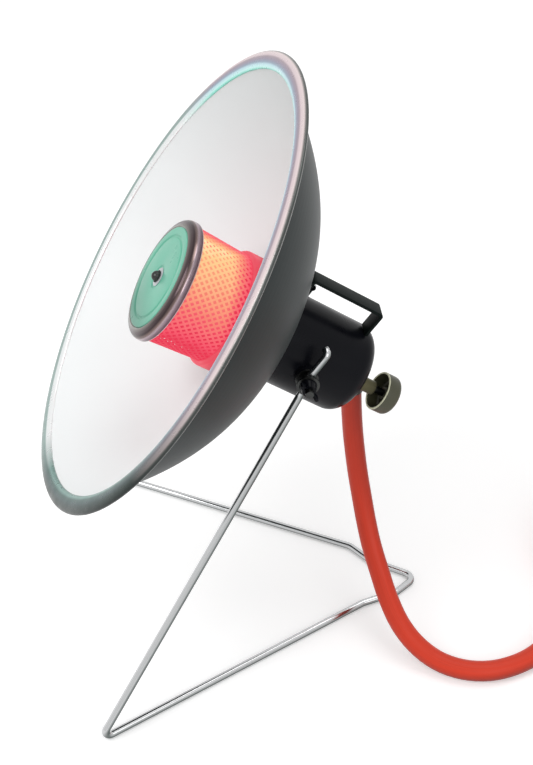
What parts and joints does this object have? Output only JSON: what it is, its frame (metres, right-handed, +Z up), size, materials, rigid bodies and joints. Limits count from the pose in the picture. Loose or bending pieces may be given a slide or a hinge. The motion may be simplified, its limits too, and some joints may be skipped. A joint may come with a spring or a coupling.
{
  "type": "parabolic gas heater",
  "caption": "Portable gas heater: a spun bowl reflector round a glowing mesh burner, tilting with its can in a bent-wire stand, with handle, press-and-turn knob and rubber hose.",
  "frame": {"origin": "on the surface it stands on, under the middle of its width and length without the hose", "axes": "+X to the heater's own left seen from behind the reflector, towards the side the picture shows, -Y the way the reflector faces, +Z up"},
  "size_m": [0.3539, 0.6127, 0.4709],
  "materials": {
    "bowl_sheet": "satin white inside, satin dark grey outside, bright rolled rim",
    "black_paint": "semi-gloss black stove enamel",
    "zinc_steel": "bright zinc plate",
    "glow_mesh": "expanded heat-resistant steel, glowing orange to crimson",
    "burner_steel": "heat-tinted sheet steel",
    "chrome_rim": "polished",
    "mint_enamel": "glossy mint-green enamel",
    "brass": "machined",
    "knob_plastic": "olive-black moulded, paler rim",
    "wire_chrome": "polished",
    "hose_rubber": "satin orange-red"
  },
  "bodies": {
    "stand": {"stand_wire": "wire_chrome", "pivot_stud_right": "zinc_steel", "pivot_stud_left": "zinc_steel", "friction_washer_right": "zinc_steel", "friction_washer_left": "zinc_steel", "pressure_washer_right": "zinc_steel", "pressure_washer_left": "zinc_steel", "gas_hose": "hose_rubber", "gas_hose_coil": "hose_rubber", "gas_hose_tail": "hose_rubber", "hose_ferrule": "zinc_steel", "hose_tailpiece": "brass"},
    "head": {"reflector_dish": "bowl_sheet", "housing_can": "black_paint", "front_plate": "black_paint", "plate_screws": "zinc_steel", "carry_handle": "black_paint", "burner_base": "burner_steel", "mesh_bridge": "zinc_steel", "tie_rod": "zinc_steel", "inner_gauze": "glow_mesh", "radiant_mesh": "glow_mesh", "cap_shell": "chrome_rim", "cap_plate": "mint_enamel", "cap_nut": "zinc_steel", "mixing_tube": "zinc_steel", "gas_jet": "brass", "valve_body": "brass", "gland_nut": "zinc_steel", "inlet_elbow": "brass", "hose_clip": "zinc_steel", "pivot_bush_right": "black_paint", "pivot_bush_left": "black_paint"},
    "plunger": {"valve_plunger": "zinc_steel"},
    "knob": {"valve_spindle": "zinc_steel", "control_knob": "knob_plastic"},
    "wing_right": {"wing_nut_right": "black_paint"},
    "wing_left": {"wing_nut_left": "black_paint"},
    "coupling": {"coupling_nut": "brass"}
  },
  "joints": [
    {"name": "tilt", "type": "hinge", "parent": "stand", "child": "head", "pos_m": [0, 0.04801, 0.258], "axis": [-1, 0, 0], "range_deg": [-34, 46], "deforming": ["gas_hose"]},
    {"name": "knob_push", "type": "slide", "parent": "head", "child": "plunger", "axis": [0, -0.829, 0.5592], "range_m": [0, 0.003], "stiffness_N_per_m": 500, "springref_m": -0.004},
    {"name": "knob_turn", "type": "hinge", "parent": "plunger", "child": "knob", "pos_m": [0.01, 0.10687, 0.2183], "axis": [0, 0.829, -0.5592], "range_deg": [0, 270]},
    {"name": "wing_right_turn", "type": "hinge", "parent": "stand", "child": "wing_right", "pos_m": [0.05, 0.04801, 0.258], "axis": [1, 0, 0], "continuous": true},
    {"name": "wing_left_turn", "type": "hinge", "parent": "stand", "child": "wing_left", "pos_m": [-0.05, 0.04801, 0.258], "axis": [-1, 0, 0], "continuous": true},
    {"name": "coupling_turn", "type": "hinge", "parent": "stand", "child": "coupling", "pos_m": [0.15482, 0.35728, 0.01212], "axis": [0.7071, -0.7071, 0], "continuous": true}
  ]
}
